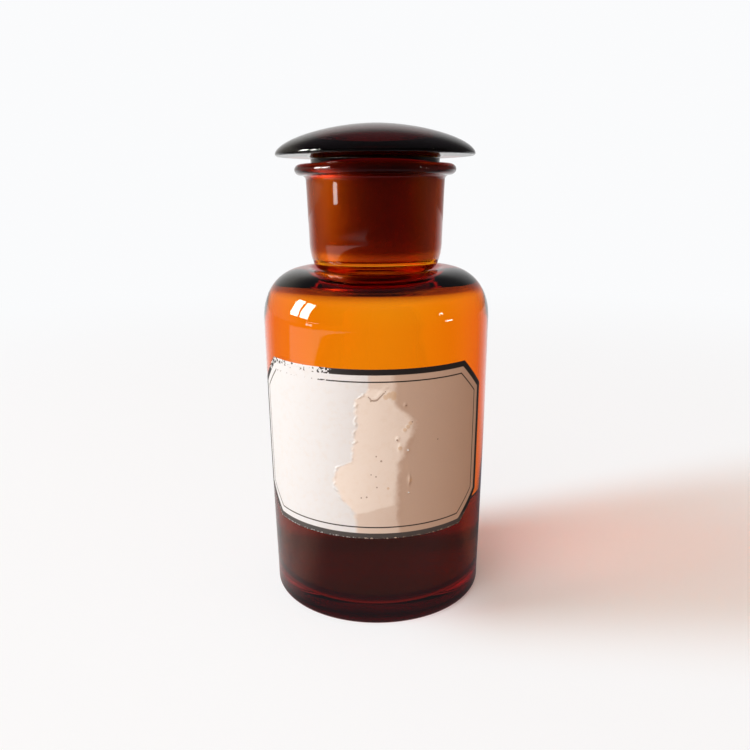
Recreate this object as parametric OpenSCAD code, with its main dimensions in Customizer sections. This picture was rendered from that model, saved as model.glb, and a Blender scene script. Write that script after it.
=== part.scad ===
// Stoppered reagent bottle of moulded glass, with a paper label and a dark liquid in it.
// The bottle's axis is Z and its resting ring lies on Z = 0. The label faces -Y.
// Every round part is a profile of [radius, height] points turned about Z.

/* [Body] */
// Outside diameter of the body where the shoulder starts
body_d = 83.8; // [74:0.2:96]
// Outside diameter of the body just above its heel
base_d = 80; // [72:0.2:94]
// How far the side bows out past a straight draft
side_bow = 0.25; // [0:0.05:1]
// Height at which the shoulder starts
shoulder_z = 106.4; // [92:0.2:150]
// Rise of the shoulder from its start to its crest
shoulder_rise = 18.4; // [12:0.2:26]
// Fullness of the shoulder's curve, where 2 is an ellipse and more is squarer
shoulder_fullness = 2.2; // [1.9:0.05:2.8]
// Thickness of the glass in the body's side
wall = 3; // [2:0.1:4.5]
// Thickness of the glass under the shoulder's crest, where it is heaviest
shoulder_wall = 4.2; // [3:0.1:7]
// Fullness of the shoulder's inside, which keeps the bend thinner than the crest
inner_fullness = 2.8; // [2.2:0.05:3.1]
// Thickness of the glass in the base, over the push-up
base_t = 4; // [3:0.1:9]
// Outside radius of the heel
heel_r = 3; // [1:0.1:6]
// Inside radius of the heel
inner_heel_r = 6; // [3:0.1:12]
// Width of the flat ring that the bottle stands on
ring_w = 3; // [1:0.1:8]
// Height of the push-up above the table
push_up_h = 2.4; // [1:0.1:6]

/* [Neck] */
// Height of the mouth above the shoulder's crest
neck_h = 36.6; // [28:0.2:50]
// Thickness of the neck's glass under the collar
neck_wall = 1.95; // [1.2:0.05:4]
// Thickness of the neck's glass above its round foot
neck_foot_wall = 2.6; // [1.6:0.05:5]
// Height over which the neck's foot rounds out from the crease
neck_foot_rise = 10.8; // [6:0.2:16]
// How far the shoulder's crest stands out past the neck's foot
crest_out = 0.7; // [0:0.1:4]
// How far the crease under the neck is cut in behind the neck's foot
crease_in = 4.9; // [2.5:0.1:7]
// Radius of the crease's round floor
crease_floor_r = 0.8; // [0.4:0.1:1.2]
// Depth of the crease below the shoulder's crest
crease_depth = 2.4; // [0.8:0.1:3.2]
// Thickness of the glass between the crease and the throat
throat_wall = 2.6; // [1.6:0.1:4]
// Thickness of the glass under the ledge where the bore ends
ledge_wall = 2.2; // [1.4:0.1:4]
// Rounding of the ledge's corner and of its lip
ledge_r = 1.2; // [0.6:0.1:1.6]

/* [Collar] */
// How far the round collar stands out from the neck
collar_out = 4; // [2.4:0.1:8]
// Height of the collar
collar_h = 4; // [3:0.1:6]
// Depth of the collar's rounded edge, from its outside to its crown
collar_round = 2.4; // [1.6:0.1:3]
// Radius of the hollow between the neck and the collar
collar_fillet = 1.6; // [0.6:0.1:1.6]

/* [Ground joint] */
// Diameter of the stopper's plug at the mouth
plug_d = 46.1; // [40:0.1:52]
// Fall in the joint's diameter for each millimetre of depth
joint_taper = 0.1; // [0.06:0.01:0.14]
// Clearance on the radius between the plug and the bore
joint_gap = 0.05; // [0.02:0.01:0.09]
// Height left between the plug's foot and the end of the ground bore
foot_room = 0.6; // [0.2:0.1:2]
// Radius of the edge round the mouth
mouth_edge_r = 0.5; // [0.2:0.1:0.8]

/* [Stopper] */
// Diameter of the stopper's head
head_d = 71.4; // [64:0.2:84]
// Height of the head from its underside to its crown
head_h = 11.4; // [9:0.2:18]
// Fullness of the head's dome, where 2 is an ellipse and less is more pointed
head_fullness = 1.7; // [1.5:0.05:2.3]
// Radius under the head's thin edge
head_edge_r = 0.8; // [0.4:0.1:1.6]
// Gap between the mouth and the head's underside when the stopper is home
head_gap = 2.6; // [1.4:0.1:6]
// Radius between the head's underside and the shank
shank_fillet = 1.2; // [0.4:0.1:1.4]
// Thickness of the glass round the plug's hollow
plug_wall = 2.5; // [1.8:0.1:4]
// Rounding of both edges of the plug's foot
foot_edge_r = 0.8; // [0.3:0.1:0.8]
// Rise of the hollow's domed roof
hollow_dome = 6; // [2:0.2:8]
// Thickness of the glass in the head, from the hollow's roof to the crown
head_glass = 9.4; // [4:0.2:14]

/* [Label] */
// Width of the label along the glass
label_w = 99; // [60:0.5:124]
// Height of the label
label_h = 60.7; // [30:0.1:70]
// How far the label's upper edge stays below the shoulder
label_drop = 11; // [2:0.5:20]
// Turn of the label's middle from the front, with minus to the left
label_turn = -7; // [-20:0.5:20]
// Width of each cut corner along the glass
corner_w = 11; // [4:0.5:20]
// Height of each cut corner
corner_h = 10; // [4:0.5:14]
// Thickness of the paper
paper_t = 0.2; // [0.1:0.05:0.4]

/* [Liquid] */
// Height of the liquid's surface above the table
liquid_z = 40; // [24:0.5:86]
// How far the liquid climbs the glass
liquid_climb = 1.2; // [0.4:0.1:2]
// Width of the curved edge of the liquid's surface
liquid_edge_w = 3; // [1:0.1:6]

/* [Stopper's place] */
// How far the stopper is drawn up out of the neck
stopper_lift = 0; // [0:0.5:60]

/* [Hidden] */
$fn = 96;
dome_steps = 16;
edge_steps = 5;
side_steps = 4;
same_point = 0.0001;
front = -90;
cut_reach = 3;

// Heights, from the table up
floor_z = push_up_h + base_t;
label_top_z = shoulder_z - label_drop;
label_z = label_top_z - label_h;
crest_z = shoulder_z + shoulder_rise;
crease_floor_z = crest_z - crease_depth;
crease_mid_z = crease_floor_z + crease_floor_r;
neck_foot_z = crease_mid_z + crease_floor_r;
neck_side_z = neck_foot_z + neck_foot_rise;
ledge_z = neck_foot_z + ledge_wall;
bore_end_z = ledge_z + ledge_r;
plug_foot_z = bore_end_z + foot_room;
mouth_z = crest_z + neck_h;
collar_floor_z = mouth_z - collar_h;
head_floor_z = mouth_z + head_gap;
head_edge_z = head_floor_z + head_edge_r;
crown_z = head_floor_z + head_h;
hollow_side_z = crown_z - head_glass - hollow_dome;

// The joint is one taper: the plug, and the bore a clearance outside it.
function plug_r(z) = plug_d / 2 - (mouth_z - z) * joint_taper / 2;
function bore_r(z) = plug_r(z) + joint_gap;
function hollow_r(z) = plug_r(z) - plug_wall;

// Radii
body_r = body_d / 2;
base_r = base_d / 2;
push_up_r = base_r - heel_r - ring_w;
neck_top_r = bore_r(mouth_z) + neck_wall;
neck_side_r = bore_r(neck_side_z) + neck_foot_wall;
crest_r = neck_side_r + crest_out;
shoulder_run = body_r - crest_r;
crease_r = neck_side_r - crease_in;
crease_mid_r = crease_r + crease_floor_r;
throat_r = crease_r - throat_wall;
collar_mid_r = neck_top_r + collar_out - collar_round;

// Points of a full curve about [r, z] with half-sizes w and h, from angle a0 to a1
function full_arc(r, z, w, h, a0, a1, steps = edge_steps, n = 2) = [
    for (i = [0:steps])
        let (a = a0 + (a1 - a0) * i / steps)
        [
            r + w * sign(cos(a)) * pow(abs(cos(a)), 2 / n),
            z + h * sign(sin(a)) * pow(abs(sin(a)), 2 / n)
        ]
];

// A round corner of radius c about [r, z]
function corner(r, z, c, a0, a1) = full_arc(r, z, c, c, a0, a1);

// The side has a straight draft and a slight bow.
function side_share(z) = (z - heel_r) / (shoulder_z - heel_r);
function side_r(z) =
    base_r + (body_r - base_r) * side_share(z)
    + 4 * side_bow * side_share(z) * (1 - side_share(z));

// Points along the side from z0 to z1, set off from its outside by off
function side_points(z0, z1, off = 0) = [
    for (i = [0:side_steps])
        let (z = z0 + (z1 - z0) * i / side_steps)
        [side_r(z) + off, z]
];

// Points that repeat the one before them are left out where two curves meet.
function joined(points) = [
    for (i = [0:len(points) - 1])
        if (i == 0 || norm(points[i] - points[max(i - 1, 0)]) > same_point)
            points[i]
];

// The push-up, the resting ring, the heel, the side and the shoulder, up to the crest.
// The side is broken at the label's edges, so that the paper lies flat on the glass.
outer_body = concat(
    full_arc(0, 0, push_up_r, push_up_h, 90, 0, dome_steps),
    corner(base_r - heel_r, heel_r, heel_r, -90, 0),
    side_points(heel_r, label_z),
    side_points(label_z, label_top_z),
    side_points(label_top_z, shoulder_z),
    full_arc(crest_r, shoulder_z, shoulder_run, shoulder_rise, 0, 90, dome_steps, shoulder_fullness)
);

// From the crest the glass falls a little and turns up in the crease under the neck.
crease_fall = [
    for (i = [0:edge_steps])
        let (t = i / edge_steps)
        [
            crest_r + (crease_mid_r - crest_r) * t,
            crest_z - crease_depth * (1 - cos(180 * t)) / 2
        ]
];

outer_neck = concat(
    crease_fall,
    corner(crease_mid_r, crease_mid_z, crease_floor_r, 270, 90),
    full_arc(
        crease_mid_r, neck_side_z, neck_side_r - crease_mid_r, neck_foot_rise, -90, 0, dome_steps
    ),
    corner(neck_top_r + collar_fillet, collar_floor_z - collar_fillet, collar_fillet, 180, 90),
    full_arc(
        collar_mid_r, collar_floor_z + collar_h / 2, collar_round, collar_h / 2, -90, 90, dome_steps
    )
);

// Down the ground bore to its ledge, through the throat and out under the shoulder
inner_neck = concat(
    corner(bore_r(mouth_z) + mouth_edge_r, mouth_z - mouth_edge_r, mouth_edge_r, 90, 180),
    corner(bore_r(bore_end_z) - ledge_r, bore_end_z, ledge_r, 0, -90),
    corner(throat_r + ledge_r, ledge_z - ledge_r, ledge_r, 90, 180),
    full_arc(
        crest_r, crease_floor_z - shoulder_wall, crest_r - throat_r, crease_depth, 180, 90,
        dome_steps
    )
);

// The inside of the shoulder and of the side, down to the liquid's edge
inner_body = concat(
    full_arc(
        crest_r, shoulder_z, shoulder_run - wall, shoulder_rise - shoulder_wall, 90, 0, dome_steps,
        inner_fullness
    ),
    side_points(shoulder_z, liquid_z + liquid_climb, -wall)
);

// What the liquid wets: the side below its edge, the heel and the floor
wetted = concat(
    side_points(liquid_z + liquid_climb, floor_z + inner_heel_r, -wall),
    corner(
        side_r(floor_z + inner_heel_r) - wall - inner_heel_r, floor_z + inner_heel_r,
        inner_heel_r, 0, -90
    ),
    [[0, floor_z]]
);

// From the middle of the liquid's surface out and up to the glass
liquid_top = [
    for (i = [0:edge_steps])
        let (t = i / edge_steps)
        [
            side_r(liquid_z + liquid_climb) - wall - liquid_edge_w * (1 - t),
            liquid_z + liquid_climb * t * t
        ]
];

stopper_head = concat(
    full_arc(
        0, head_edge_z, head_d / 2, crown_z - head_edge_z, 90, 0, dome_steps, head_fullness
    ),
    corner(head_d / 2 - head_edge_r, head_edge_z, head_edge_r, 0, -90),
    corner(plug_r(head_floor_z) + shank_fillet, head_floor_z - shank_fillet, shank_fillet, 90, 180)
);

// Down the plug, round its foot, and up the hollow to the roof
stopper_plug = concat(
    corner(plug_r(plug_foot_z) - foot_edge_r, plug_foot_z + foot_edge_r, foot_edge_r, 0, -90),
    corner(hollow_r(plug_foot_z) + foot_edge_r, plug_foot_z + foot_edge_r, foot_edge_r, -90, -180),
    full_arc(0, hollow_side_z, hollow_r(hollow_side_z), hollow_dome, 0, 90, dome_steps)
);

module turned(points) {
    rotate_extrude()
        polygon(joined(points));
}

// The bottle, from its push-up out, up and back in through the mouth
module bottle() {
    color([0.75, 0.33, 0.05, 0.6])
        turned(concat(outer_body, outer_neck, inner_neck, inner_body, wetted));
}

// The hollow stopper: a domed head over a tapered plug
module stopper() {
    color([0.4, 0.12, 0.06, 0.8])
        translate([0, 0, stopper_lift])
            turned(concat(stopper_head, stopper_plug));
}

// Angle at the axis of a width along the label's middle
function label_angle(w) = w / (side_r((label_z + label_top_z) / 2) * PI) * 180;

// A wedge through the paper at a corner: side is -1 or 1 about the middle, up is -1 or 1
module label_corner(side, up) {
    mid = side * (label_angle(label_w) - label_angle(corner_w)) / 2;
    half_w = body_r * sin(label_angle(corner_w) / 2);
    mid_z = (label_z + label_top_z) / 2 + up * (label_h - corner_h) / 2;
    rotate([0, 0, mid])
        translate([0, 0, mid_z])
            rotate([90, 0, 90])
                linear_extrude(height = body_d)
                    polygon([
                        [-side * half_w * cut_reach, up * corner_h * cut_reach / 2],
                        [side * half_w * cut_reach, up * corner_h * cut_reach / 2],
                        [side * half_w * cut_reach, -up * corner_h * cut_reach / 2]
                    ]);
}

// The paper wrapped round the front of the body, with its corners cut off
module label() {
    turn = label_angle(label_w);
    color([0.95, 0.87, 0.78])
        rotate([0, 0, front + label_turn])
            difference() {
                rotate([0, 0, -turn / 2])
                    rotate_extrude(angle = turn)
                        polygon(joined(concat(
                            side_points(label_z, label_top_z),
                            side_points(label_top_z, label_z, paper_t)
                        )));
                for (side = [-1, 1])
                    for (up = [-1, 1])
                        label_corner(side, up);
            }
}

// The reagent, which fills the body to its level and climbs the glass at the edge
module liquid() {
    color([0.3, 0.05, 0.04, 0.9])
        turned(concat([[0, liquid_z]], liquid_top, wetted));
}

bottle();
stopper();
label();
liquid();
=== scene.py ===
import math

import bpy
import numpy as np
from mathutils import Matrix, Vector, noise


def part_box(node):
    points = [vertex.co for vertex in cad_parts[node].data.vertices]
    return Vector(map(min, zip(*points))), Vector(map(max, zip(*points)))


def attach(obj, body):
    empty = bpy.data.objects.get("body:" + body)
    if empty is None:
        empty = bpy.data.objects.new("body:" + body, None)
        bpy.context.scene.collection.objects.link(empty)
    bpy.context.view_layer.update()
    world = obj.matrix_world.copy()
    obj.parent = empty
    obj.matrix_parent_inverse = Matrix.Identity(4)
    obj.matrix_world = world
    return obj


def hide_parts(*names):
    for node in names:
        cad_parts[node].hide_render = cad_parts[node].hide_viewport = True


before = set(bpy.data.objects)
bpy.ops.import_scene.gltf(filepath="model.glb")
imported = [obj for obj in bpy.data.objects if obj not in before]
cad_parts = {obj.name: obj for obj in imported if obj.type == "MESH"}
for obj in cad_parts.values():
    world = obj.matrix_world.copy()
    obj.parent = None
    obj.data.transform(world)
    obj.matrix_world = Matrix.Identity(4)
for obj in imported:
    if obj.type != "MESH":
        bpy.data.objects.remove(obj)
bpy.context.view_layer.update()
mm = 0.001


def between(value, low, high):
    # 0 at low and 1 at high, straight between them and flat beyond
    return min(1.0, max(0.0, (value - low) / (high - low)))


def addObject(name, data):
    made = bpy.data.objects.new(name, data)
    bpy.context.scene.collection.objects.link(made)
    return made


def smoothMesh(name, verts, faces):
    mesh = bpy.data.meshes.new(name)
    mesh.from_pydata(verts, [], faces)
    mesh.polygons.foreach_set("use_smooth", [True] * len(faces))
    mesh.update()
    return mesh


view = {
    "distance": 280.0,          # level distance from the bottle's axis, mm
    "height": 153.0,
    "side": -0.6,
    "tilt": 14.0,               # degrees below level
    "roll": -0.4,
    "lens": 36.0,
    "sensor": 36.0,
    "nearest": 0.01,
    "farthest": 20.0,
}


def placeCamera(view):
    data = bpy.data.cameras.new("camera")
    data.lens, data.sensor_width = view["lens"], view["sensor"]
    data.clip_start, data.clip_end = view["nearest"], view["farthest"]
    camera = addObject("camera", data)
    camera.location = (view["side"] * mm, -view["distance"] * mm, view["height"] * mm)
    camera.rotation_mode = "ZXY"
    camera.rotation_euler = (math.radians(90 - view["tilt"]), 0, 0)
    level = camera.rotation_euler.to_matrix()
    roll = Matrix.Rotation(math.radians(view["roll"]), 3, level @ Vector((0, 0, 1)))
    camera.rotation_euler = (roll @ level).to_euler("ZXY")
    bpy.context.scene.camera = camera


placeCamera(view)
print("camera placed")


class Wire:
    # one output socket, with arithmetic on values
    def __init__(self, finish, socket):
        self.finish, self.socket = finish, socket

    def maths(self, kind, *terms):
        return self.finish.node("ShaderNodeMath", {"operation": kind}, dict(enumerate(terms)))

    def __add__(self, other):
        return self.maths("ADD", self, other)

    def __radd__(self, other):
        return self.maths("ADD", other, self)

    def __sub__(self, other):
        return self.maths("SUBTRACT", self, other)

    def __rsub__(self, other):
        return self.maths("SUBTRACT", other, self)

    def __mul__(self, other):
        return self.maths("MULTIPLY", self, other)

    def __rmul__(self, other):
        return self.maths("MULTIPLY", other, self)

    def __truediv__(self, other):
        return self.maths("DIVIDE", self, other)

    def __rtruediv__(self, other):
        return self.maths("DIVIDE", other, self)

    def __pow__(self, other):
        return self.maths("POWER", self, other)

    def __abs__(self):
        return self.maths("ABSOLUTE", self)

    def atLeast(self, other):
        return self.maths("MAXIMUM", self, other)

    def atMost(self, other):
        return self.maths("MINIMUM", self, other)

    def ramp(self, low, high, start=0.0, end=1.0):
        # start below low, end above high, smooth between
        return self.finish.node(
            "ShaderNodeMapRange", {"interpolation_type": "SMOOTHSTEP"},
            {"Value": self, "From Min": low, "From Max": high, "To Min": start, "To Max": end})

    def part(self, axis):
        return self.finish.node("ShaderNodeSeparateXYZ", {}, {0: self}, axis)


class Finish:
    # a material, or the world, built node by node
    def __init__(self, name, owner=None):
        self.owner = owner or bpy.data.materials.new(name)
        self.owner.use_nodes = True
        self.tree = self.owner.node_tree
        self.tree.nodes.clear()

    def plug(self, socket, value):
        if isinstance(value, Wire):
            self.tree.links.new(value.socket, socket)
        else:
            socket.default_value = value

    def node(self, kind, settings=None, sockets=None, out=0):
        made = self.tree.nodes.new(kind)
        for key, value in (settings or {}).items():
            if key == "stops":
                self.setStops(made.color_ramp, value)
            else:
                setattr(made, key, value)
        for key, value in (sockets or {}).items():
            self.plug(made.inputs[key], value)
        return Wire(self, made.outputs[out]) if made.outputs else made

    def setStops(self, ramp, stops):
        while len(ramp.elements) < len(stops):
            ramp.elements.new(0.5)
        for element, (place, shade) in zip(ramp.elements, stops):
            element.position = place
            element.color = shade

    def blend(self, share, first, second, how="MIX"):
        made = self.tree.nodes.new("ShaderNodeMix")
        made.data_type, made.blend_type = "RGBA", how
        self.plug(made.inputs[0], share)
        self.plug(made.inputs[6], first)
        self.plug(made.inputs[7], second)
        return Wire(self, made.outputs[2])

    def noise(self, place, scale, detail=2.0, rough=0.5, bend=0.0):
        return self.node("ShaderNodeTexNoise", {}, {
            "Vector": place, "Scale": scale, "Detail": detail, "Roughness": rough,
            "Distortion": bend}, "Fac")

    def relief(self, height, depth, under=None):
        sockets = {"Height": height, "Distance": depth}
        if under is not None:
            sockets["Normal"] = under
        return self.node("ShaderNodeBump", {}, sockets)

    def place(self, kind="Object"):
        return self.node("ShaderNodeTexCoord", {}, {}, kind)

    def ray(self, kind):
        return self.node("ShaderNodeLightPath", {}, {}, kind)

    def mirrorRay(self):
        # a ray that was mirrored: one that went through glass counts as glossy too
        return self.ray("Is Glossy Ray") * (1.0 - self.ray("Is Transmission Ray"))

    def close(self, surface, volume=None):
        sockets = {"Surface": surface}
        if volume is not None:
            sockets["Volume"] = volume
        self.node("ShaderNodeOutputMaterial", {}, sockets)
        return self.owner


# a profile is a list of (radius, height) in millimetres
def fullArc(r, z, w, h, start, end, steps, fullness=2.0):
    # a full curve about (r, z) with half-sizes w and h, between two angles
    points = []
    for i in range(steps + 1):
        a = math.radians(start + (end - start) * i / steps)
        c, s = math.cos(a), math.sin(a)
        points.append((
            r + w * math.copysign(abs(c) ** (2 / fullness), c),
            z + h * math.copysign(abs(s) ** (2 / fullness), s)))
    return points


def corner(r, z, size, start, end, steps=8):
    return fullArc(r, z, size, size, start, end, steps)


def joined(*stretches, longest=1.8):
    # the stretches in one run: gaps between them are filled evenly, repeats are dropped
    points = [stretches[0][0]]
    for stretch in stretches:
        for p in stretch:
            q = points[-1]
            gap = math.dist(p, q)
            if gap < 1e-4:
                continue
            for k in range(1, math.ceil(gap / longest)):
                t = k / math.ceil(gap / longest)
                points.append((q[0] + (p[0] - q[0]) * t, q[1] + (p[1] - q[1]) * t))
            points.append(p)
    return points


jointSize = {
    "plugDiameter": 46.1,       # at the mouth
    "taper": 0.1,
    "gap": 0.05,
    "mouthEdge": 0.5,
}

bottleSize = {
    "bodyDiameter": 83.8,
    "baseDiameter": 80.0,
    "bow": 0.25,
    "shoulderHeight": 106.4,
    "shoulderRise": 18.4,
    "shoulderFullness": 2.2,
    "wall": 3.0,
    "shoulderWall": 4.2,
    "innerFullness": 2.8,
    "baseThick": 4.0,
    "heel": 3.0,
    "innerHeel": 6.0,
    "ring": 3.0,
    "pushUp": 2.4,
    "neckWall": 1.95,
    "footWall": 2.6,
    "footRise": 10.8,
    "crestOut": 0.7,
    "creaseIn": 4.9,
    "creaseRound": 0.8,
    "creaseDepth": 2.4,
    "throatWall": 2.6,
    "ledgeWall": 2.2,
    "ledgeRound": 1.2,
    "collarOut": 4.0,
    "collarHeight": 4.0,
    "collarRound": 2.4,
    "collarFillet": 1.6,
}

stopperSize = {
    "headDiameter": 71.4,
    "fullness": 1.7,
    "edge": 0.8,
    "gap": 2.6,
    "fillet": 1.2,
    "plugWall": 2.5,
    "footEdge": 0.8,
    "hollowDome": 6.0,
    "headGlass": 9.4,
}

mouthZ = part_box("bottle")[1][2] / mm
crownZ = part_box("stopper")[1][2] / mm
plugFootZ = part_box("stopper")[0][2] / mm


def plugRadius(z):
    return jointSize["plugDiameter"] / 2 - (mouthZ - z) * jointSize["taper"] / 2


def boreRadius(z):
    return plugRadius(z) + jointSize["gap"]


def sideRadius(z, glass=bottleSize):
    share = (z - glass["heel"]) / (glass["shoulderHeight"] - glass["heel"])
    low, high = glass["baseDiameter"] / 2, glass["bodyDiameter"] / 2
    return low + (high - low) * share + 4 * glass["bow"] * share * (1 - share)


def sideRun(start, end, off=0.0, steps=46):
    heights = [start + (end - start) * i / steps for i in range(steps + 1)]
    return [(sideRadius(z) + off, z) for z in heights]


def bottleProfile(glass=bottleSize, joint=jointSize):
    # from the middle of the push-up, out, up and over the mouth, and down inside to the floor
    floorZ = glass["pushUp"] + glass["baseThick"]
    crestZ = glass["shoulderHeight"] + glass["shoulderRise"]
    creaseZ = crestZ - glass["creaseDepth"]
    footZ = creaseZ + 2 * glass["creaseRound"]
    neckZ = footZ + glass["footRise"]
    ledgeZ = footZ + glass["ledgeWall"]
    boreEndZ = ledgeZ + glass["ledgeRound"]
    topR = boreRadius(mouthZ) + glass["neckWall"]
    neckR = boreRadius(neckZ) + glass["footWall"]
    crestR = neckR + glass["crestOut"]
    run = glass["bodyDiameter"] / 2 - crestR
    creaseMid = neckR - glass["creaseIn"] + glass["creaseRound"]
    throat = neckR - glass["creaseIn"] - glass["throatWall"]
    collarMid = topR + glass["collarOut"] - glass["collarRound"]
    heelR = glass["baseDiameter"] / 2 - glass["heel"]
    innerHeelZ = floorZ + glass["innerHeel"]
    innerHeelR = sideRadius(innerHeelZ) - glass["wall"] - glass["innerHeel"]
    fall = []
    for i in range(13):
        t = i / 12
        fall.append((
            crestR + (creaseMid - crestR) * t,
            crestZ - glass["creaseDepth"] * (1 - math.cos(math.pi * t)) / 2))
    outside = joined(
        fullArc(0, 0, heelR - glass["ring"], glass["pushUp"], 90, 0, 24),
        corner(heelR, glass["heel"], glass["heel"], -90, 0, 12),
        sideRun(glass["heel"], glass["shoulderHeight"]),
        fullArc(crestR, glass["shoulderHeight"], run, glass["shoulderRise"],
                0, 90, 44, glass["shoulderFullness"]),
        fall,
        corner(creaseMid, creaseZ + glass["creaseRound"], glass["creaseRound"], 270, 90, 12),
        fullArc(creaseMid, neckZ, neckR - creaseMid, glass["footRise"], -90, 0, 26),
        corner(topR + glass["collarFillet"], mouthZ - glass["collarHeight"] - glass["collarFillet"],
               glass["collarFillet"], 180, 90),
        fullArc(collarMid, mouthZ - glass["collarHeight"] / 2, glass["collarRound"],
                glass["collarHeight"] / 2, -90, 90, 30))
    bore = joined(
        [outside[-1]],
        corner(boreRadius(mouthZ) + joint["mouthEdge"], mouthZ - joint["mouthEdge"],
               joint["mouthEdge"], 90, 180, 6),
        corner(boreRadius(boreEndZ) - glass["ledgeRound"], boreEndZ, glass["ledgeRound"], 0, -90, 6))
    inside = joined(
        [bore[-1]],
        corner(throat + glass["ledgeRound"], ledgeZ - glass["ledgeRound"], glass["ledgeRound"],
               90, 180, 6),
        fullArc(crestR, creaseZ - glass["shoulderWall"], crestR - throat, glass["creaseDepth"],
                180, 90, 20),
        fullArc(crestR, glass["shoulderHeight"], run - glass["wall"],
                glass["shoulderRise"] - glass["shoulderWall"], 90, 0, 40, glass["innerFullness"]),
        sideRun(glass["shoulderHeight"], innerHeelZ, -glass["wall"]),
        corner(innerHeelR, innerHeelZ, glass["innerHeel"], 0, -90, 14),
        [(0.0, floorZ)])
    return outside, bore[1:], inside[1:]


def stopperProfile(cap=stopperSize):
    # from the hollow's roof, down and round the plug's foot, and up and over the head
    headZ = mouthZ + cap["gap"]
    edgeZ = headZ + cap["edge"]
    roofZ = crownZ - cap["headGlass"]
    hollowZ = roofZ - cap["hollowDome"]
    headR = cap["headDiameter"] / 2
    head = joined(
        fullArc(0, edgeZ, headR, crownZ - edgeZ, 90, 0, 60, cap["fullness"]),
        corner(headR - cap["edge"], edgeZ, cap["edge"], 0, -90, 6),
        corner(plugRadius(headZ) + cap["fillet"], headZ - cap["fillet"], cap["fillet"], 90, 180, 8),
        [(plugRadius(mouthZ), mouthZ)])
    plug = joined(
        [head[-1]],
        corner(plugRadius(plugFootZ) - cap["footEdge"], plugFootZ + cap["footEdge"],
               cap["footEdge"], 0, -90, 6))
    hollowFoot = plugRadius(plugFootZ) - cap["plugWall"]
    hollow = joined(
        [plug[-1]],
        corner(hollowFoot + cap["footEdge"], plugFootZ + cap["footEdge"], cap["footEdge"], -90, -180, 6),
        fullArc(0, hollowZ, plugRadius(hollowZ) - cap["plugWall"], cap["hollowDome"], 0, 90, 30))
    return [hollow[:0:-1], plug[:0:-1], head[::-1]]


turns = 192                     # steps round the axis


def turnedMesh(name, parts, wander=None):
    # parts are stretches of one profile whose first and last points lie on the axis
    points = [p for part in parts for p in part]
    marks = [mark for mark, part in enumerate(parts) for _ in part]
    rings = points[1:-1]
    verts = [(0, 0, points[0][1] * mm)]
    for j, (r, z) in enumerate(rings):
        for i in range(turns):
            a = 2 * math.pi * i / turns
            d = wander(r, z, a, marks[j + 1]) if wander else 0.0
            verts.append(((r + d) * math.cos(a) * mm, (r + d) * math.sin(a) * mm, z * mm))
    verts.append((0, 0, points[-1][1] * mm))
    faces = []
    for i in range(turns):
        n = (i + 1) % turns
        faces.append((0, 1 + n, 1 + i))
        for j in range(len(rings) - 1):
            a, b = 1 + j * turns, 1 + (j + 1) * turns
            faces.append((a + i, a + n, b + n, b + i))
        a = 1 + (len(rings) - 1) * turns
        faces.append((a + i, a + n, len(verts) - 1))
    return smoothMesh(name, verts, faces)


def addPiece(name, mesh, finish, body, nodeName):
    piece = addObject(name, mesh)
    mesh.materials.append(finish)
    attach(piece, body)
    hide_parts(nodeName)


glassLook = {
    "index": 1.5,
    "bodyTint": (0.998, 0.80, 0.05, 1),
    "bodyDepth": 1150.0,
    "headTint": (0.78, 0.16, 0.08, 1),
    "headDepth": 500.0,
    "shadow": (0.95, 0.87, 0.79, 1),    # the light that it lets through to the table
    "plug": (0.50, 0.32, 0.30, 1),
    "plugFoot": (0.8, 3.0),             # above the plug's foot, mm
    "plugTop": (1.0, 0.0),              # below the mouth
    # painted shade: the collar's glass is darkened
    "collar": (0.14, 0.16, 0.20, 1),
    "collarDrop": (4.8, 3.6),           # below the mouth
    # painted shade: the heel's glass is darkened, where shade falls under the bottle
    "heel": (0.20, 0.16, 0.22, 1),
    "heelHeights": (7.0, 12.0),
    "throat": (0.42, 0.24, 0.20, 1),    # the glass is darker in the throat, below the neck
    "throatHeights": (116.0, 119.0, 124.5, 126.5),
    "neck": (0.57, 0.36, 0.42, 1),
    "neckHeights": (130.0, 132.0),
    "waveScale": 22.0,
    "waveDepth": 0.25,
    "smudgeScale": 55.0,
    "smudgeFrom": (0.55, 0.85),
    "smudge": 0.03,
    "groundRough": 0.36,
    "groundGrain": 2600.0,
    "groundDepth": 0.01,
    "groundOff": (0.2, 0.4),            # from the joint's taper, mm
    "groundTop": (0.5, 1.1),            # below the mouth
    "groundFoot": (0.8, 0.2),           # above the plug's foot
}

liquidLook = {
    "index": 1.36,
    "tint": (0.95, 0.30, 0.42, 1),
    "depth": 700.0,
    "shadow": (0.96, 0.96, 0.96, 1),
    "rippleScale": 60.0,
    "rippleDepth": 0.02,
}


def groundShare(place, look=glassLook, joint=jointSize):
    # 1 on the two ground faces of the joint and 0 elsewhere
    x, y, z = (place.part(i) / mm for i in range(3))
    down = mouthZ - z
    off = (x * x + y * y) ** 0.5 - (joint["plugDiameter"] / 2 - down * (joint["taper"] / 2))
    length = mouthZ - plugFootZ
    start, end = look["groundFoot"]
    return (abs(off).ramp(*look["groundOff"], 1.0, 0.0) * down.ramp(*look["groundTop"])
            * down.ramp(length - start, length - end, 1.0, 0.0))


def bottleColour(s, z, look=glassLook):
    # darker in the throat, the neck, the collar and the heel; at the collar and the heel it is painted
    # shade
    foot, full, fading, top = look["throatHeights"]
    throat = z.ramp(foot, full) * z.ramp(fading, top, 1.0, 0.0)
    colour = s.blend(throat, (1, 1, 1, 1), look["throat"])
    colour = s.blend(z.ramp(*look["neckHeights"]), colour, look["neck"])
    # painted shade on the collar
    start, end = look["collarDrop"]
    colour = s.blend(z.ramp(mouthZ - start, mouthZ - end), colour, look["collar"])
    # painted shade on the heel
    return s.blend(z.ramp(*look["heelHeights"], 1.0, 0.0), colour, look["heel"])


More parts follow.
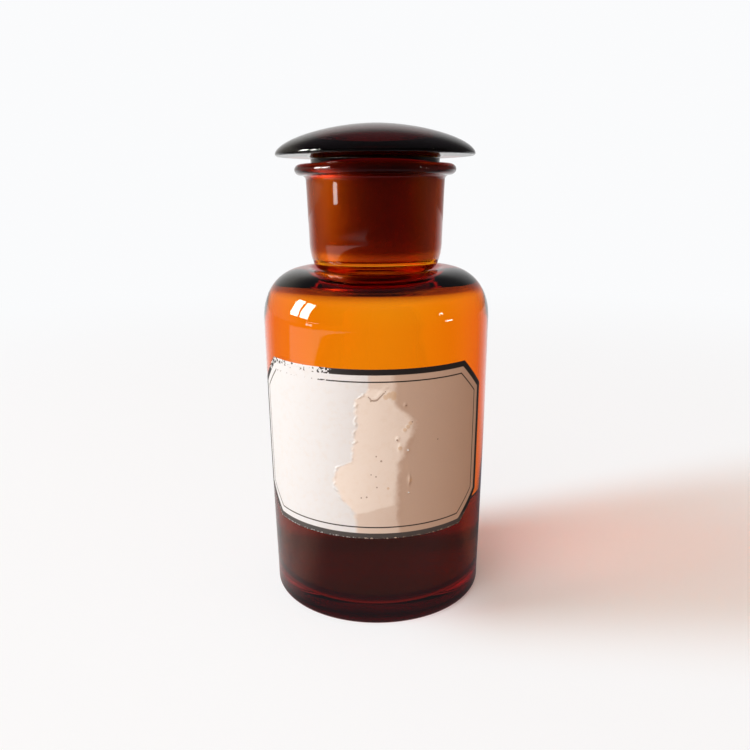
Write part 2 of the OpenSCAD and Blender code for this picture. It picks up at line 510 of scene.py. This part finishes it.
def stopperColour(s, z, look=glassLook):
    # darker in the plug
    foot, full = look["plugFoot"]
    fading, top = look["plugTop"]
    plug = z.ramp(plugFootZ + foot, plugFootZ + full) * z.ramp(
        mouthZ - fading, mouthZ - top, 1.0, 0.0)
    return s.blend(plug, (1, 1, 1, 1), look["plug"])


def seeThrough(s, sockets, shadow, tint, depth):
    # the colour comes from the depth, and the table behind still gets light
    solid = s.node("ShaderNodeBsdfPrincipled", {}, sockets)
    clear = s.node("ShaderNodeBsdfTransparent", {}, {"Color": shadow})
    surface = s.node("ShaderNodeMixShader", {}, {0: s.ray("Is Shadow Ray"), 1: solid, 2: clear})
    volume = s.node("ShaderNodeVolumeAbsorption", {}, {"Color": tint, "Density": depth})
    return s.close(surface, volume)


def glassFinish(name, tint, depth, colouring, look=glassLook):
    s = Finish(name)
    place = s.place()
    ground = groundShare(place)
    smudge = s.noise(place, look["smudgeScale"], 3.0, 0.6).ramp(*look["smudgeFrom"])
    normal = s.relief(s.noise(place, look["waveScale"], 1.0), look["waveDepth"] * mm)
    grain = s.noise(place, look["groundGrain"]) * ground
    return seeThrough(s, {
        "Base Color": colouring(s, place.part(2) / mm),
        "Roughness": smudge * look["smudge"] + ground * look["groundRough"],
        "IOR": look["index"], "Transmission Weight": 1.0,
        "Normal": s.relief(grain, look["groundDepth"] * mm, normal)}, look["shadow"], tint, depth)


def liquidFinish(look=liquidLook):
    s = Finish("redBrownLiquid")
    ripple = s.relief(s.noise(s.place(), look["rippleScale"], 1.0), look["rippleDepth"] * mm)
    return seeThrough(s, {
        "Base Color": (1, 1, 1, 1), "Roughness": 0.0, "IOR": look["index"],
        "Transmission Weight": 1.0, "Normal": ripple}, look["shadow"], look["tint"], look["depth"])


bodyGlass = glassFinish("amberGlass", glassLook["bodyTint"], glassLook["bodyDepth"], bottleColour)
headGlass = glassFinish("stopperGlass", glassLook["headTint"], glassLook["headDepth"], stopperColour)
print("glass finishes made")


glassFlow = {
    "least": 0.025,             # how far the outside stays in from its true radius, mm
    "outer": 0.04,              # how much further in it wanders
    "outerFoot": (3.0, 7.0),    # the heights between which that starts
    "outerTop": (6.0, 10.0),    # and stops, below the mouth
    "outerWave": 30.0,
    "inner": 0.30,              # how far the wall's inside wanders
    "innerFoot": (12.0, 20.0),
    "innerTop": (118.0, 110.0),
    "innerWave": 26.0,
    "fit": 0.06,                # the liquid runs this far into the glass, so no gap shows
}


def bottleWander(r, z, a, mark, flow=glassFlow):
    # the marks are 0 for the outside, 1 for the bore and 2 for the inside
    spot = Vector((math.cos(a) * r, math.sin(a) * r, z)) * mm
    if mark == 0:
        fade = between(z, *flow["outerFoot"]) * between(mouthZ - z, *flow["outerTop"])
        wave = 0.5 + 0.5 * noise.noise(spot * flow["outerWave"])
        return -fade * (flow["least"] + flow["outer"] * wave)
    if mark == 2:
        fade = between(z, *flow["innerTop"]) * between(z, *flow["innerFoot"])
        return flow["inner"] * fade * noise.noise(spot * flow["innerWave"])
    return 0.0


addPiece("bottle_glass", turnedMesh("bottle_glass", bottleProfile(), bottleWander),
         bodyGlass, "bottle", "bottle")
addPiece("stopper_glass", turnedMesh("stopper_glass", stopperProfile()),
         headGlass, "stopper", "stopper")

liquidSize = {
    "level": 40.0,
    "climb": 1.2,               # how far it stands up the glass
    "edge": 3.0,                # and how far from the glass that starts
}


def liquidProfile(fill=liquidSize, glass=bottleSize):
    # up from the floor along the glass, over the rim and in across the surface
    floorZ = glass["pushUp"] + glass["baseThick"]
    innerHeelZ = floorZ + glass["innerHeel"]
    innerHeelR = sideRadius(innerHeelZ) - glass["wall"] - glass["innerHeel"]
    fit = glassFlow["fit"]
    topZ = fill["level"] + fill["climb"]
    rim = sideRadius(topZ) - glass["wall"] + fit
    surface = [(0.0, fill["level"])]
    for i in range(9):
        t = i / 8
        surface.append((rim - fill["edge"] * (1 - t), fill["level"] + fill["climb"] * t * t))
    wetted = joined(
        [surface[-1]],
        sideRun(topZ, innerHeelZ, fit - glass["wall"], 14),
        corner(innerHeelR, innerHeelZ, glass["innerHeel"] + fit, 0, -90, 14),
        [(0.0, floorZ - fit)])
    return [wetted[:0:-1], joined(surface, longest=4.0)[::-1]]


def liquidWander(r, z, a, mark):
    # it follows the glass where it wets it
    onGlass = z < liquidSize["level"] or r > sideRadius(z) - bottleSize["wall"] - 0.01
    return bottleWander(r, z, a, 2) if onGlass else 0.0


addPiece("reagent_liquid", turnedMesh("reagent_liquid", liquidProfile(), liquidWander),
         liquidFinish(), "bottle", "liquid")
print("glass and liquid turned")


labelSize = {
    "width": 99.0,              # along the glass
    "height": 60.7,
    "drop": 11.0,               # below the shoulder
    "turn": -7.0,               # degrees from the front, minus to the left
    "cornerWide": 11.0,
    "cornerHigh": 10.0,
    "paper": 0.1,
    "room": 0.19,               # the thickness that relief may reach where the body is widest
    "fineFrom": -12.0,          # the creased part has finer columns, mm along the paper
    "fineTo": 21.0,
    "fineCell": 0.26,
    "cell": 0.85,
    "rowCell": 0.31,
}

# places on the paper are (degrees round from the front, height in mm)
creasesAndShadeEdges = {
    # the pale and tan edges also bound the painted light and the painted shade on the paper
    "paleEdge": [(-10, 38), (-11, 44), (-15, 47), (-20, 51), (-21, 56), (-19.5, 60.5), (-12, 63),
                 (-11, 70), (-10, 76), (-9.5, 85), (-5, 87.5), (-3.5, 89), (-3, 96)],
    "tanEdge": [(8.5, 38), (8, 49), (8.5, 56), (9.5, 63), (12, 67), (15, 73), (16.5, 77),
                (11, 81), (7, 84), (6, 89), (5.5, 96)],
    "ends": (39.0, 44.0, 87.0, 91.0),   # the heights between which the edges stand off
    "swell": 0.30,                      # how far the tan edge stands off, mm
    "fall": 2.4,
    "ripple": 0.36,                     # and the pale edge, in broken ripples
    "rippleWide": 0.38,
    "rippleWander": [(2.2, 0.42, 3.0), (0.9, 1.3, 9.0)],    # degrees, how often, which noise
    "rippleBreaks": (0.35, 1.6, 0.62),  # how much there is, how uneven, how often
    "flap": [(-4, 86), (-2.5, 85), (0, 85), (3.5, 87.5), (4.5, 88.5)],
    "flapLift": 0.28,
    "flapWide": 1.1,
    "bumps": [(16, 77.5, 0.6, 0.8, 0.62), (14.3, 75.4, 0.5, 0.5, 0.52), (12.8, 74.2, 0.5, 0.5, 0.46),
              (9.5, 71.2, 0.45, 0.6, 0.66), (10.5, 68.0, 0.6, 1.2, 0.42), (15.2, 56.1, 0.45, 1.6, 0.66),
              (14.6, 67.0, 0.35, 0.35, 0.36), (15.0, 51.5, 0.3, 0.3, 0.32), (13, 83, 0.5, 0.7, 0.28),
              (7.0, 86.2, 1.2, 1.0, -0.08)],
    "waves": [(0.03, 0.16), (0.012, 0.9)],      # the sheet's own unevenness: height and how often
    "lowest": -0.04,
}

labelTopZ = bottleSize["shoulderHeight"] - labelSize["drop"]
labelMidZ = labelTopZ - labelSize["height"] / 2
labelR = sideRadius(labelMidZ)


def labelReach(v, label=labelSize):
    # half the label's width at a height from its middle
    over = abs(v) - (label["height"] / 2 - label["cornerHigh"])
    return label["width"] / 2 - max(0.0, over) / label["cornerHigh"] * label["cornerWide"]


def onLabel(u, v, lift, label=labelSize):
    # a point of the flat label, wrapped round the glass
    a = math.radians(label["turn"]) + u / labelR
    z = labelMidZ + v
    r = sideRadius(z) + lift
    return (r * math.sin(a) * mm, -r * math.cos(a) * mm, z * mm)


def edgeAt(points, z):
    # where an edge that runs up the paper is at a height
    return float(np.interp(z, [p[1] for p in points], [p[0] for p in points]))


def runDistance(x, z, run, wide):
    # the distance to a run of points and the side it is on, in mm
    best, side = 1e9, 0.0
    for (ax, az), (bx, bz) in zip(run, run[1:]):
        px, pz, dx, dz = (x - ax) * wide, z - az, (bx - ax) * wide, bz - az
        t = min(1.0, max(0.0, (px * dx + pz * dz) / (dx * dx + dz * dz)))
        off = math.hypot(px - t * dx, pz - t * dz)
        if off < best:
            best, side = off, dx * pz - dz * px
    return best, side


def paperRelief(x, z, creases=creasesAndShadeEdges):
    # how far the paper stands off at (degrees, height), in mm
    wide = math.radians(labelR)
    pale, tan = edgeAt(creases["paleEdge"], z), edgeAt(creases["tanEdge"], z)
    foot, full, fading, top = creases["ends"]
    ends = between(z, foot, full) * between(z, top, fading)
    past = math.exp(-(max(0.0, x - tan) / creases["fall"]) ** 2)
    lift = creases["swell"] * ends * between(x, pale, tan) ** 3 * past
    edge = pale
    for far, often, row in creases["rippleWander"]:
        edge += far * noise.noise(Vector((row, 0.0, z * often)))
    level, uneven, often = creases["rippleBreaks"]
    broken = between(level + uneven * noise.noise(Vector((0.0, 7.0, z * often))), 0.0, 1.0)
    off = (x - edge) * wide / creases["rippleWide"]
    lift += creases["ripple"] * ends * broken * math.exp(-off ** 2)
    off, side = runDistance(x, z, creases["flap"], wide)
    if side > 0:
        lift += creases["flapLift"] * math.exp(-(off / creases["flapWide"]) ** 2)
    for bx, bz, wideBump, highBump, height in creases["bumps"]:
        lift += height * math.exp(-((x - bx) * wide / wideBump) ** 2 - ((z - bz) / highBump) ** 2)
    for height, often in creases["waves"]:
        lift += height * noise.noise(Vector((x * wide, 0.0, z)) * often)
    return max(creases["lowest"], lift)


def labelColumns(label=labelSize):
    half = label["width"] / 2
    start, end = label["fineFrom"], label["fineTo"]
    stretches = [(-half, start, label["cell"]), (start, end, label["fineCell"]),
                 (end, half, label["cell"])]
    places = [-half]
    for start, end, cell in stretches:
        count = round((end - start) / cell)
        places += [start + (end - start) * (i + 1) / count for i in range(count)]
    return places


def labelMesh(name, label=labelSize):
    places = labelColumns()
    columns, rows = len(places) - 1, round(label["height"] / label["rowCell"])
    half = label["height"] / 2
    widest = sideRadius(labelTopZ) + label["room"]
    verts, faces = [], []
    for front in (True, False):
        for j in range(rows + 1):
            v = -half + label["height"] * j / rows
            z = labelMidZ + v
            share = labelReach(v) / (label["width"] / 2)
            for place in places:
                u, lift = place * share, 0.0
                if front:
                    relief = paperRelief(label["turn"] + math.degrees(u / labelR), z)
                    lift = min(widest - sideRadius(z), label["paper"] + relief)
                verts.append(onLabel(u, v, lift))
    wide, back = columns + 1, (columns + 1) * (rows + 1)
    for j in range(rows):
        for i in range(columns):
            a = j * wide + i
            faces.append((a, a + 1, a + wide + 1, a + wide))
            faces.append((back + a, back + a + wide, back + a + wide + 1, back + a + 1))
    rim = list(range(columns)) + [j * wide + columns for j in range(rows)]
    rim += [rows * wide + i for i in range(columns, 0, -1)] + [j * wide for j in range(rows, 0, -1)]
    for a, b in zip(rim, rim[1:] + rim[:1]):
        faces.append((a, back + a, back + b, b))
    return smoothMesh(name, verts, faces)


paperLook = {
    # pale is painted light, on the lit left of the label; tan is painted shade, on its right
    "pale": (0.865, 0.91, 0.945, 1),
    "cream": (0.96, 0.89, 0.815, 1),
    "tan": (0.64, 0.495, 0.40, 1),
    "bare": (0.74, 0.54, 0.34, 1),      # where the top of the paper is torn away, and painted highlights on the bumps
    # also painted shade on the bumps
    "speck": (0.30, 0.20, 0.15, 1),
    "tear": (0.34, 0.24, 0.18, 1),
    "ink": (0.022, 0.018, 0.017, 1),
    "sheenGreyInk": (0.085, 0.078, 0.075, 1),
    "footHeights": (36.5, 39.0),        # where the ink turns grey, a painted sheen
    "border": 2.0,
    "line": (4.05, 4.5),
    "crisp": 0.08,                      # how soft the print's edges are, mm
    "worn": (-64.0, -50.0, -31.0, -19.0),       # degrees, along the top border
    "wornLeast": 0.3,
    "wornHeights": (90.0, 91.0),
    "wornShare": 0.93,
    "flakeScale": 900.0,
    "flakes": (0.34, 0.66),
    "flakeSoft": 0.06,
    "chipReach": (0.25, 0.5),           # the foot's edge is chipped this far in, mm
    "chipHeights": (37.0, 39.0),
    "chipScale": 1500.0,
    "chips": (0.56, 0.6),
    "raggedScale": 260.0,               # how the stains' edges run
    "ragged": 5.0,
    "paleSoft": (-1.2, 1.2),            # degrees past the pale edge
    "tanSoft": (-1.4, 3.4),
    "tanRagged": 1.1,
    "lowTan": (0.18, -10.0, 44.0),      # a faint tan patch at the foot: slope, place, height
    "lowFrom": (-11.5, -9.0),
    "lowShare": 0.45,
    "highTan": 88.6,                    # and one at the top
    "highFrom": (-4.5, -3.5),
    "highShare": 0.35,
    "patchRagged": 0.3,
    "patchSoft": 0.5,
    # spots on the bumps are painted: the yellow and pale ones are painted highlights, the dark ones
    # painted shade
    "bareSpots": [(4.0, 86.0, 1.1), (5.6, 86.6, 1.3), (7.3, 86.8, 1.5), (7.6, 85.8, 1.1),
                  (15.4, 76.6, 0.9), (14.3, 75.4, 0.9), (12.8, 74.4, 0.8), (10.6, 68.0, 0.9),
                  (15.8, 56.0, 0.8), (5.0, 53.6, 0.6)],
    "specks": [(-0.5, 65.2, 0.35), (1.8, 63.5, 0.45), (-0.7, 57.9, 0.35), (-3.0, 58.6, 0.3),
               (-0.3, 54.0, 0.35), (-5.2, 50.3, 0.4), (-7.8, 50.0, 0.35), (30.0, 69.4, 0.35),
               (13.4, 82.8, 0.4), (9.2, 70.9, 0.45), (16.3, 77.0, 0.35)],
    "tearSpots": [(-3.8, 86.0, 0.34), (-3.3, 85.6, 0.4), (-2.9, 85.1, 0.42), (-2.8, 84.6, 0.36),
                  (-2.3, 84.9, 0.42), (-1.7, 84.8, 0.44), (-1.1, 84.8, 0.44), (-0.5, 84.9, 0.44),
                  (0.1, 85.1, 0.42), (0.7, 85.5, 0.4), (1.2, 85.9, 0.38), (1.7, 86.3, 0.36),
                  (2.2, 86.7, 0.34), (2.7, 87.1, 0.32), (3.2, 87.4, 0.3), (3.8, 87.9, 0.26)],
    "flecks": [(14.4, 67.0, 0.45), (15.0, 51.5, 0.35)],
    "spots": [("bareSpots", 0.6, "bare"), ("specks", 0.75, "speck"), ("tearSpots", 0.7, "tear"),
              ("flecks", 1.0, "pale")],
    "fibreScale": 420.0,
    "fibres": (0.45, 0.75),
    "fibreShare": 0.10,
    "grainScale": 1800.0,
    "grainDepth": 0.02,
    "rough": 0.75,
    "inkSheen": 0.2,
}


def edgeRun(s, z, points):
    # the same edge as edgeAt, as a ramp over the height
    low, high = points[0][1], points[-1][1]
    stops = [((h - low) / (high - low), ((x + 90) / 180,) * 3 + (1,)) for x, h in points]
    share = s.node("ShaderNodeMapRange", {}, {"Value": z, "From Min": low, "From Max": high})
    return s.node("ShaderNodeValToRGB", {"stops": stops}, {0: share}).part(0) * 180 - 90


def dots(s, x, z, spots):
    # 1 inside any of the spots
    total = None
    for bx, bz, size in spots:
        across = (x - bx) * math.radians(labelR)
        up = z - bz
        one = (across * across + up * up).ramp((size * 0.5) ** 2, size ** 2, 1.0, 0.0)
        total = one if total is None else total.atLeast(one)
    return total


def inkShare(s, place, inward, x, z, look=paperLook):
    # 1 on the printed border and line, worn off along the top and chipped at the foot
    soft = look["crisp"]
    near, far = look["line"]
    border = inward.ramp(look["border"] - soft, look["border"] + soft, 1.0, 0.0)
    line = inward.ramp(near - soft, near + soft) * inward.ramp(far - soft, far + soft, 1.0, 0.0)
    start, full, fading, end = look["worn"]
    worn = (x.ramp(start, full, look["wornLeast"], 1.0) * x.ramp(fading, end, 1.0, 0.0)
            * z.ramp(*look["wornHeights"]))
    flakes = s.noise(place, look["flakeScale"], 3.0, 0.6).ramp(*look["flakes"])
    kept = (flakes - worn * look["wornShare"]).ramp(-look["flakeSoft"], 0.0)
    chips = (inward.ramp(*look["chipReach"], 1.0, 0.0) * z.ramp(*look["chipHeights"], 1.0, 0.0)
             * s.noise(place, look["chipScale"]).ramp(*look["chips"]))
    return border.atLeast(line) * kept * (1.0 - chips)


def paperColour(s, place, x, z, look=paperLook):
    # pale on the left, cream in the middle, tan on the right, with torn spots and small dark spots; the
    # pale left is painted light and the tan right painted shade
    ragged = (s.noise(place, look["raggedScale"], 3.0) - 0.5) * look["ragged"]
    pale = (x - edgeRun(s, z, creasesAndShadeEdges["paleEdge"]) + ragged).ramp(*look["paleSoft"], 1.0, 0.0)
    tan = (x - edgeRun(s, z, creasesAndShadeEdges["tanEdge"]) + ragged * look["tanRagged"]).ramp(*look["tanSoft"])
    slope, along, height = look["lowTan"]
    uneven, soft = ragged * look["patchRagged"], look["patchSoft"]
    low = ((x - along) * slope + height - z + uneven).ramp(-soft, soft) * x.ramp(*look["lowFrom"])
    high = (z - look["highTan"] - uneven).ramp(-soft, soft) * x.ramp(*look["highFrom"])
    # painted shade on the right, with the faint tan patches at the foot and the top
    shadeAndTan = tan.atLeast(low * look["lowShare"]).atLeast(high * look["highShare"])
    colour = s.blend(pale, look["cream"], look["pale"])
    colour = s.blend(shadeAndTan, colour, look["tan"])
    # torn spots and small dark spots, with painted highlights and painted shade on the bumps
    for spots, share, tone in look["spots"]:
        colour = s.blend(dots(s, x, z, look[spots]) * share, colour, look[tone])
    fibre = s.noise(place, look["fibreScale"], 4.0, 0.65).ramp(*look["fibres"])
    return s.blend(fibre * look["fibreShare"], colour, look["bare"])


def paperFinish(look=paperLook, label=labelSize):
    s = Finish("labelPaper")
    place = s.place()
    turn = s.node("ShaderNodeMath", {"operation": "ARCTAN2"}, {
        0: place.part(0), 1: place.part(1) * -1.0})
    x, z = turn * (180 / math.pi), place.part(2) / mm
    side = label["width"] / 2 - abs((turn - math.radians(label["turn"])) * labelR)
    edge = label["height"] / 2 - abs(z - labelMidZ)
    wide, high = label["cornerWide"], label["cornerHigh"]
    slant = math.hypot(wide, high)
    cut = side * (high / slant) + edge * (wide / slant) - wide * high / slant
    ink = inkShare(s, place, side.atMost(edge).atMost(cut), x, z)
    # the ink is painted grey at the foot, a painted sheen
    black = s.blend(z.ramp(*look["footHeights"], 1.0, 0.0), look["ink"], look["sheenGreyInk"])
    grain = s.noise(place, look["grainScale"], 3.0, 0.6)
    surface = s.node("ShaderNodeBsdfPrincipled", {}, {
        "Base Color": s.blend(ink, paperColour(s, place, x, z), black),
        "Roughness": look["rough"] - ink * look["inkSheen"],
        "Normal": s.relief(grain, look["grainDepth"] * mm)})
    return s.close(surface)


addPiece("paper_label", labelMesh("paper_label"), paperFinish(), "bottle", "label")
print("label pasted on")


# directions below are parts of a unit vector: x to the right, y to the back
roomLook = {                    # what the glass mirrors, and shows where it bends light forwards
    "left": (0.40, 0.37, 0.33, 1),
    "right": (0.10, 0.095, 0.095, 1),
    "leftToRight": (-0.7, 0.6),
    "front": (0.03, 0.028, 0.028, 1),
    "frontThrough": (0.10, 0.06, 0.05, 1),
    "frontTo": (-0.35, 0.25),
    "wallLeft": (1.0, 1.0, 1.0, 1),
    "wallRight": (0.87, 0.87, 0.88, 1),
    "wallSides": (-0.3, 0.3),
    "wallThrough": (-0.25, 0.1),        # how far round the wall reaches, towards the front
    "wallMirrored": (0.6, 1.25),
}


def mirroredRoom(s, way, left, mirror, look=roomLook):
    # the pale wall behind is seen straight through the glass, and mirrored only at its rims
    x, y = way.part(0), way.part(1)
    sides = s.blend(x.ramp(*look["leftToRight"]), left, look["right"])
    front = s.blend(s.mirrorRay(), look["frontThrough"], look["front"])
    room = s.blend(y.ramp(*look["frontTo"], 1.0, 0.0), sides, front)
    wall = s.blend(x.ramp(*look["wallSides"]), look["wallLeft"], look["wallRight"])
    behind = y.ramp(*look["wallThrough"]) * (1.0 - s.mirrorRay())
    return s.blend(behind.atLeast(y.ramp(*mirror)), room, wall)


tableLook = {                   # the table as the glass shows it, with distances in metres
    "left": (0.16, 0.15, 0.14, 1),
    "wallMirrored": (0.45, 0.9),
    "near": (0.23, 0.21, 0.24, 1),      # close in front
    "nearLeft": (0.62, 0.57, 0.56, 1),  # and close on the left, in the light
    "nearTurn": (40.0, 74.0),           # degrees round from the front, to the left
    "nearAway": (0.10, 0.32),
    "nearThrough": (-0.3, 0.2),         # through the glass it shows only towards the front
    "under": (0.34, 0.16, 0.15, 1),     # under the bottle, painted shade
    "underAway": (0.034, 0.046),
    "bright": (1.0, 0.99, 0.97, 1),     # under the window
    "brightFrom": 65.0,                 # degrees round, as above
    "brightTo": 93.0,
    "brightSoft": 2.0,
    "brightAway": 0.38,                 # the distance at which it starts there
    "brightSpread": 70.0,               # degrees that it widens by for each metre past that
    "brightStart": (0.2, 0.35),
    "brightEnd": (0.9, 1.2),
    "shade": 0.85,                      # how dark the bottle's shadow is in the glass
}


def mirroredTable(s, place, away, shade, look=tableLook):
    way = s.node("ShaderNodeVectorMath", {"operation": "NORMALIZE"}, {0: place}, "Vector")
    turn = s.node("ShaderNodeMath", {"operation": "ARCTAN2"}, {
        0: place.part(0) * -1.0, 1: place.part(1) * -1.0}) * (180 / math.pi)
    colour = mirroredRoom(s, way, look["left"], look["wallMirrored"])
    near = s.blend(turn.ramp(*look["nearTurn"]), look["near"], look["nearLeft"])
    shown = s.mirrorRay().atLeast(way.part(1).ramp(*look["nearThrough"], 1.0, 0.0))
    colour = s.blend(away.ramp(*look["nearAway"], 1.0, 0.0) * shown, colour, near)
    # painted shade under the bottle
    colour = s.blend(away.ramp(*look["underAway"]), look["under"], colour)
    spread, soft = turn + (away - look["brightAway"]) * look["brightSpread"], look["brightSoft"]
    bright = (spread.ramp(look["brightFrom"] - soft, look["brightFrom"] + soft)
              * turn.ramp(look["brightTo"] - soft, look["brightTo"] + soft, 1.0, 0.0)
              * away.ramp(*look["brightStart"]) * away.ramp(*look["brightEnd"], 1.0, 0.0))
    colour = s.blend(bright, colour, look["bright"])
    return s.blend(shade * s.mirrorRay() * look["shade"], colour, roomLook["right"])


stageLook = {
    "white": (0.96, 0.965, 0.975, 1),
    "radius": 3.0,
    "steps": 96,
    "paint": (0.93, 0.925, 0.92, 1),
    "shaded": (0.81, 0.83, 0.82, 1),    # the paint where the bottle's shadow falls
    "bounce": (0.52, 0.38, 0.29, 1),    # the light that it sends back up is dimmer and warm
    "haze": 0.8,                        # how much of the floor near the bottle is plain white
    "hazeAway": (0.15, 0.9),
    "shadeSlope": 0.14,                 # the shadow's middle line, to the right and back
    "shadeHalf": 0.05,                  # half its width at the bottle, m
    "shadeWiden": 0.26,
    "shadeSoft": (0.45, 1.2),
    "shadeStart": (0.0, 0.05),
    "shadeEnd": (0.12, 0.40),
}


def bottleShade(place, look=stageLook):
    # 1 where the bottle's shadow falls on the floor
    x, y = place.part(0), place.part(1)
    off = abs(y - x * look["shadeSlope"]) / (x * look["shadeWiden"] + look["shadeHalf"])
    return (off.ramp(*look["shadeSoft"], 1.0, 0.0) * x.ramp(*look["shadeStart"])
            * x.ramp(*look["shadeEnd"], 1.0, 0.0))


def addFloor(look=stageLook):
    around = [2 * math.pi * i / look["steps"] for i in range(look["steps"])]
    verts = [(look["radius"] * math.cos(a), look["radius"] * math.sin(a), 0) for a in around]
    mesh = smoothMesh("floor", verts, [tuple(range(look["steps"]))])
    s = Finish("paintedFloor")
    place = s.place()
    away = s.node("ShaderNodeVectorMath", {"operation": "LENGTH"}, {0: place}, "Value")
    shade = bottleShade(place)
    paint = s.blend(shade, look["paint"], look["shaded"])
    paint = s.blend(s.ray("Is Diffuse Ray"), paint, look["bounce"])
    lit = s.node("ShaderNodeBsdfDiffuse", {}, {"Color": paint})
    shown = s.blend(s.ray("Is Camera Ray"), mirroredTable(s, place, away, shade), look["white"])
    plain = s.node("ShaderNodeEmission", {}, {"Color": shown, "Strength": 1.0})
    share = s.ray("Is Camera Ray") * away.ramp(*look["hazeAway"], look["haze"], 1.0) * (1.0 - shade)
    share = share.atLeast(s.ray("Is Glossy Ray")).atLeast(s.ray("Is Transmission Ray"))
    surface = s.node("ShaderNodeMixShader", {}, {0: share, 1: lit, 2: plain})
    mesh.materials.append(s.close(surface))
    addObject("floor", mesh)


lampLook = {
    "daylight": (1.0, 0.985, 0.96),
    "windowTurn": 8.0,          # degrees forward from straight left
    "windowAway": 1.2,
    "windowHeight": 0.52,
    "windowAim": 0.06,
    "paneWidth": 0.24,
    "paneHeight": 0.56,
    "mullion": 0.065,
    "strength": 7.5,
    "mirrorStrength": 26.0,     # as the glass mirrors it
    "skyTurn": -30.0,           # a soft panel, degrees round from the front
    "skyRise": 40.0,
    "skyAway": 1.5,
    "skySize": 1.2,
    "skyStrength": 2.5,
    "topSize": 1.4,             # a soft panel overhead, for the table
    "topHeight": 1.8,
    "topStrength": 0.6,
    "glintAim": 0.13,
    "glints": [                 # degrees round, distance, height, width, height of it, strength
        (-64, 1.0, 0.152, 0.28, 0.016, 4.0),
        (-68, 1.0, 0.088, 0.14, 0.035, 9.0),
        (74, 1.0, 0.142, 0.14, 0.024, 18.0),
        (66, 1.0, 0.360, 0.080, 0.040, 20.0),
    ],
}


def addLamp(name, data, place, toward):
    lamp = addObject(name, data)
    lamp.location = place
    lamp.rotation_euler = toward.to_track_quat("-Z", "Y").to_euler()
    lamp.visible_transmission = False
    return lamp


def addPane(name, place, toward, size, strength, mirrored, look=lampLook):
    # one that lights things, or one that only the glass mirrors
    data = bpy.data.lights.new(name, "AREA")
    data.shape = "RECTANGLE"
    data.size, data.size_y = size
    data.energy = strength * size[0] * size[1] * math.pi
    data.color = look["daylight"]
    data.cycles.use_multiple_importance_sampling = mirrored     # or one would hide the other
    lamp = addLamp(name, data, place, toward)
    lamp.visible_diffuse = not mirrored
    lamp.visible_glossy = mirrored


def addWindow(look=lampLook):
    # two panes of a window at the left
    turn = math.radians(look["windowTurn"])
    middle = Vector((-look["windowAway"] * math.cos(turn), -look["windowAway"] * math.sin(turn),
                     look["windowHeight"]))
    toward = (Vector((0, 0, look["windowAim"])) - middle).normalized()
    across = toward.cross(Vector((0, 0, 1))).normalized()
    size = (look["paneWidth"], look["paneHeight"])
    for side in (-1, 1):
        place = middle + across * side * (look["paneWidth"] + look["mullion"]) / 2
        addPane("windowPane", place, toward, size, look["strength"], False)
        addPane("windowPane", place, toward, size, look["mirrorStrength"], True)


def addGlints(look=lampLook):
    # small bright things that the glass mirrors
    for turn, away, height, width, tall, strength in look["glints"]:
        turn = math.radians(turn)
        place = Vector((math.sin(turn) * away, -math.cos(turn) * away, height))
        toward = (Vector((0, 0, look["glintAim"])) - place).normalized()
        addPane("glint", place, toward, (width, tall), strength, True)


def addPanel(name, place, size, strength):
    # a soft round panel that the glass doesn't mirror
    data = bpy.data.lights.new(name, "AREA")
    data.shape, data.size = "DISK", size
    data.energy = strength * math.pi * (size / 2) ** 2 * math.pi
    addLamp(name, data, place, -place).visible_glossy = False


def addPanels(look=lampLook):
    turn, rise = math.radians(look["skyTurn"]), math.radians(look["skyRise"])
    way = Vector((math.sin(turn) * math.cos(rise), -math.cos(turn) * math.cos(rise), math.sin(rise)))
    addPanel("skyPanel", way * look["skyAway"], look["skySize"], look["skyStrength"])
    addPanel("topPanel", Vector((0, 0, look["topHeight"])), look["topSize"], look["topStrength"])


worldLook = {
    "ceiling": (0.10, 0.09, 0.10, 1),
    "above": (0.22, 0.15, 0.12, 1),     # the ceiling as seen through the glass
    "ceilingFrom": (0.42, 0.72),        # how steeply up it starts
    "fillLeft": (0.60, 0.58, 0.56, 1),
    "fillRight": (0.50, 0.34, 0.26, 1),
    "fillSides": (-0.7, 0.4),
}


def makeWorld(look=worldLook):
    world = bpy.data.worlds.new("room")
    bpy.context.scene.world = world
    s = Finish("room", world)
    way = s.place("Generated")
    over = s.blend(s.mirrorRay(), look["above"], look["ceiling"])
    shown = mirroredRoom(s, way, roomLook["left"], roomLook["wallMirrored"])
    shown = s.blend(way.part(2).ramp(*look["ceilingFrom"]), shown, over)
    shown = s.blend(s.ray("Is Camera Ray"), shown, stageLook["white"])
    fill = s.blend(way.part(0).ramp(*look["fillSides"]), look["fillLeft"], look["fillRight"])
    seen = (s.ray("Is Camera Ray") + s.ray("Is Glossy Ray") + s.ray("Is Transmission Ray")).atMost(1.0)
    colour = s.blend(seen, fill, shown)
    back = s.node("ShaderNodeBackground", {}, {"Color": colour, "Strength": 1.0})
    s.node("ShaderNodeOutputWorld", {}, {"Surface": back})


addFloor()
addWindow()
addGlints()
addPanels()
makeWorld()
bpy.context.scene.view_settings.view_transform = "Standard"
bpy.context.scene.cycles.use_denoising = True
print("stage lit")
